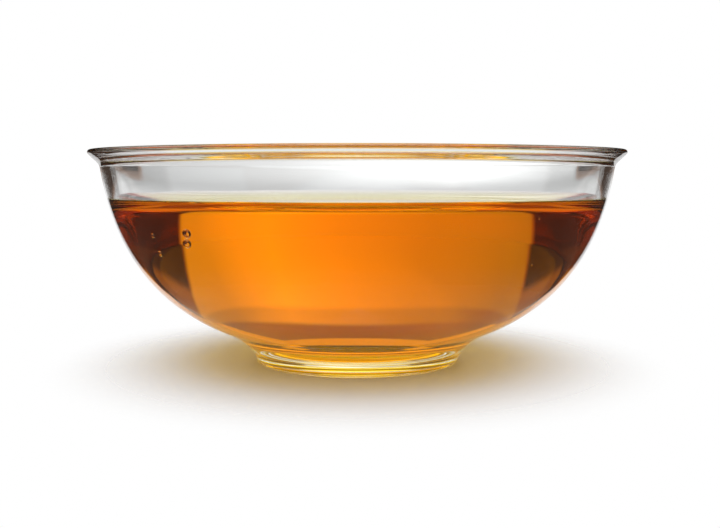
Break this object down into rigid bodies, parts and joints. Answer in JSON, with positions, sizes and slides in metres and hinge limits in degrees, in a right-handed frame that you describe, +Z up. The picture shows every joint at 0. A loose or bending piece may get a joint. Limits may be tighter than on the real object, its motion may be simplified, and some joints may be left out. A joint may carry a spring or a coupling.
{
  "type": "glass tea bowl with tea",
  "caption": "Low round clear glass tea bowl with a flared lip and a short foot ring, filled with amber tea to just under the lip.",
  "frame": {"origin": "middle of the foot ring, on the surface that the bowl stands on", "axes": "+Z up, along the bowl's axis of symmetry"},
  "size_m": [0.09, 0.09, 0.0361],
  "materials": {
    "clear_glass": "clear polished glass",
    "black_tea": "clear amber liquid"
  },
  "bodies": {
    "root": {"glass_bowl": "clear_glass", "tea": "black_tea"}
  },
  "joints": []
}
